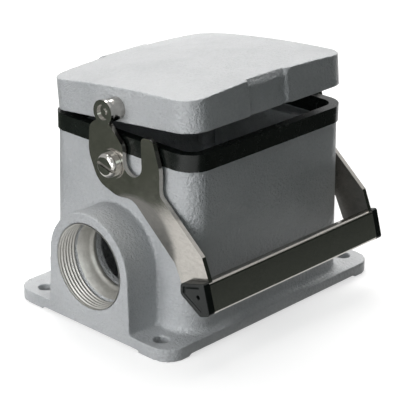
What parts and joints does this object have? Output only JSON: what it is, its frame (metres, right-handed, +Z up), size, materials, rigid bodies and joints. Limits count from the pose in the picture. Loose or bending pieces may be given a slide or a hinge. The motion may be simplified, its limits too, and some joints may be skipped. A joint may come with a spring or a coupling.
{
  "type": "heavy duty rectangular connector base",
  "caption": "Surface-mounting die-cast base housing of a rectangular connector, with a threaded side cable entry, a rim seal, a hinged cover and a locking lever.",
  "frame": {"origin": "middle of the mounting holes, on the mounting plane", "axes": "+X along the handle, away from the cable entry; +Y from the handle to the cover hinge; +Z up from the mounting plane"},
  "size_m": [0.131, 0.1104, 0.1063],
  "materials": {
    "painted_body": "satin",
    "seal_rubber": "satin",
    "lever_steel": "satin",
    "cap_plastic": "glossy",
    "turned_steel": "polished",
    "spacer_plastic": "satin"
  },
  "bodies": {
    "base": {"base_housing": "painted_body", "rim_seal": "seal_rubber", "pivot_screws": "turned_steel", "pivot_bush_left": "turned_steel", "pivot_bush_right": "turned_steel", "pivot_washer_left": "turned_steel", "pivot_washer_right": "turned_steel", "arm_spacer_left": "spacer_plastic", "arm_spacer_right": "spacer_plastic"},
    "locking_lever": {"lever_bail": "lever_steel", "handle_cap_left": "cap_plastic", "handle_cap_right": "cap_plastic"},
    "hinge_pins": {"hinge_pin": "turned_steel"},
    "cover": {"cover": "painted_body", "cover_peg_left": "turned_steel", "cover_peg_right": "turned_steel", "peg_sleeve_left": "turned_steel", "peg_sleeve_right": "turned_steel"}
  },
  "joints": [
    {"name": "lever_swing", "type": "hinge", "parent": "base", "child": "locking_lever", "pos_m": [0, 0, 0.07], "axis": [-1, 0, 0], "range_deg": [0, 39]},
    {"name": "cover_lift", "type": "hinge", "parent": "base", "child": "hinge_pins", "pos_m": [0, 0.0475, 0.0885], "axis": [-1, 0, 0], "range_deg": [-5.5, 0]},
    {"name": "cover_open", "type": "hinge", "parent": "hinge_pins", "child": "cover", "pos_m": [0, 0.0475, 0.0885], "axis": [-1, 0, 0], "range_deg": [0, 105]}
  ],
  "couplings": [
    {"joint": "cover_lift", "follows": "lever_swing", "ratio": -0.141}
  ]
}
